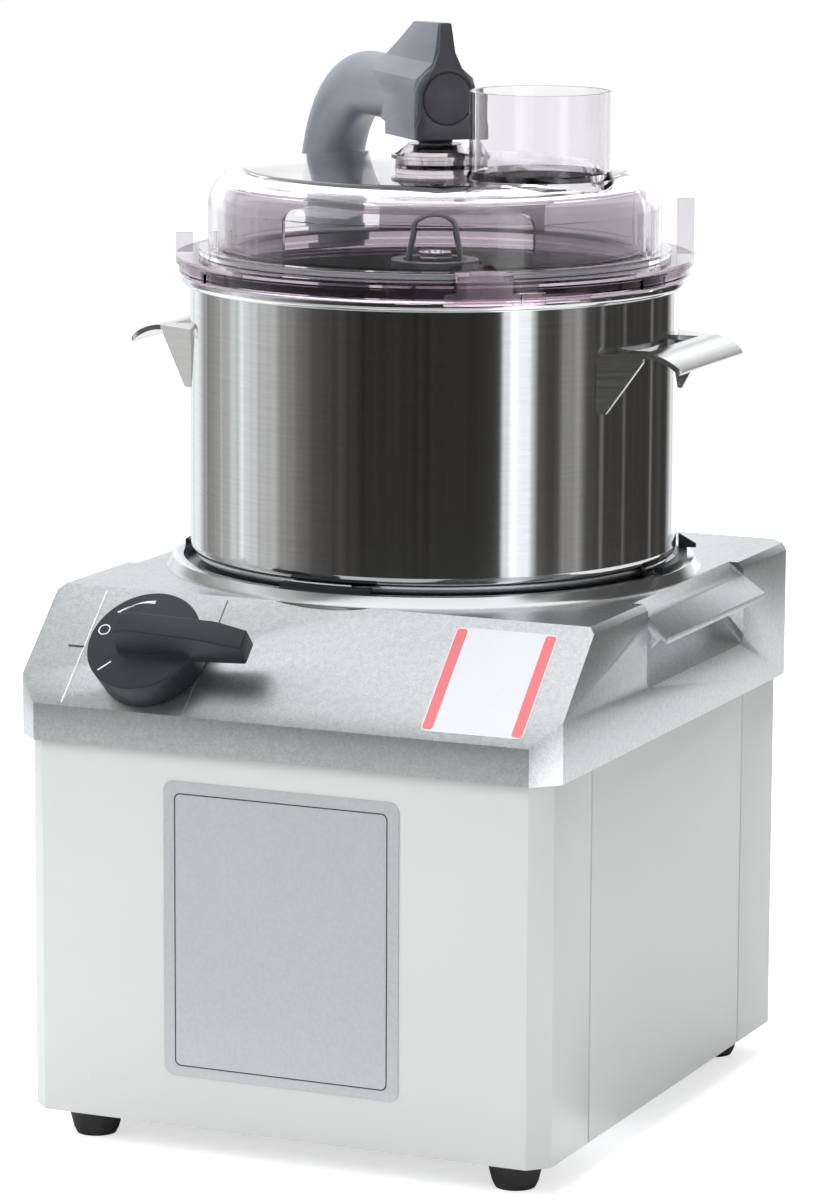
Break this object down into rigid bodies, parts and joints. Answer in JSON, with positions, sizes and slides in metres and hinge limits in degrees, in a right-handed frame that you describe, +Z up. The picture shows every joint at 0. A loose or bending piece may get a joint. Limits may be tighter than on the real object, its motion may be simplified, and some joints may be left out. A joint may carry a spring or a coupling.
{
  "type": "vertical cutter mixer",
  "caption": "Bench-top vertical cutter mixer: steel bowl on a cast-top cabinet, clear lid with feed tube, hand-turned scraper ring, sweeping knives and a swinging lid arm",
  "frame": {"origin": "on the bench, under the middle of the machine's bounding box", "axes": "+Z up along the bowl's axis, -Y the front with the control knob, +X the right-hand side seen from the front"},
  "size_m": [0.252, 0.2766, 0.4455],
  "materials": {
    "cabinet_paint": "satin light grey paint",
    "zinc_steel": "zinc plated",
    "foot_rubber": "matt moulded rubber",
    "cast_aluminium": "blasted casting",
    "black_plastic": "finely textured",
    "white_plastic": "moulded",
    "bronze": "sintered bush",
    "motor_iron": "stacked laminations",
    "copper_wire": "varnished wire",
    "polished_steel": "polished stainless steel",
    "clear_plastic": "clear moulded plastic",
    "purple_plastic": "tinted clear moulded plastic",
    "arm_plastic": "finely textured grey-blue"
  },
  "bodies": {
    "machine": {"cabinet": "cabinet_paint", "bottom_plate": "zinc_steel", "feet": "foot_rubber", "foot_screws": "zinc_steel", "top_casting": "cast_aluminium", "tie_rods": "zinc_steel", "cable_gland": "black_plastic", "seat_seal": "foot_rubber", "bayonet_hooks": "black_plastic", "shaft_seal": "foot_rubber", "arm_bush": "bronze", "arm_switch": "black_plastic", "motor_stator": "motor_iron", "motor_windings": "copper_wire", "upper_end_bell": "cast_aluminium", "lower_end_bell": "cast_aluminium", "upper_bearing": "polished_steel", "lower_bearing": "polished_steel", "motor_bolts": "zinc_steel", "run_capacitor": "white_plastic", "control_box": "black_plastic", "switch_body": "black_plastic", "switch_nut": "zinc_steel", "lid": "clear_plastic", "lid_boss": "black_plastic", "lid_catch": "clear_plastic", "lid_seal": "foot_rubber"},
    "knob": {"control_knob": "black_plastic", "switch_shaft": "zinc_steel"},
    "bowl": {"bowl": "polished_steel", "bowl_lugs": "polished_steel", "handle_right": "polished_steel", "handle_left": "polished_steel"},
    "scraper": {"scraper_ring": "purple_plastic", "scraper_arms": "purple_plastic", "finger_tab_right": "clear_plastic", "finger_tab_left": "clear_plastic"},
    "drive": {"drive_shaft": "polished_steel", "motor_rotor": "motor_iron", "cooling_fan": "black_plastic", "knife_carrier": "black_plastic", "lower_knife": "polished_steel", "upper_knife": "polished_steel", "knife_spacer": "black_plastic", "knife_cap": "black_plastic", "cap_nut": "polished_steel", "lifting_bail": "polished_steel"},
    "arm": {"arm_post": "arm_plastic", "lid_arm": "arm_plastic", "arm_end_cap": "black_plastic", "arm_pad": "foot_rubber", "post_clip": "polished_steel"}
  },
  "joints": [
    {"name": "knob_turn", "type": "hinge", "parent": "machine", "child": "knob", "pos_m": [-0.062, -0.11158, 0.19825], "axis": [0, -0.6901, 0.7237], "range_deg": [-45, 45]},
    {"name": "bowl_turn", "type": "hinge", "parent": "machine", "child": "bowl", "pos_m": [0, 0.02232, 0.2245], "axis": [0, 0, 1], "range_deg": [0, 26]},
    {"name": "scraper_turn", "type": "hinge", "parent": "machine", "child": "scraper", "pos_m": [0, 0.02232, 0.3478], "axis": [0, 0, 1], "range_deg": [-45, 75]},
    {"name": "drive_spin", "type": "hinge", "parent": "machine", "child": "drive", "pos_m": [0, 0.02232, 0.15], "axis": [0, 0, 1], "continuous": true},
    {"name": "arm_swing", "type": "hinge", "parent": "machine", "child": "arm", "pos_m": [-0.08898, 0.11224, 0.222], "axis": [0, 0, 1], "range_deg": [0, 110]}
  ]
}
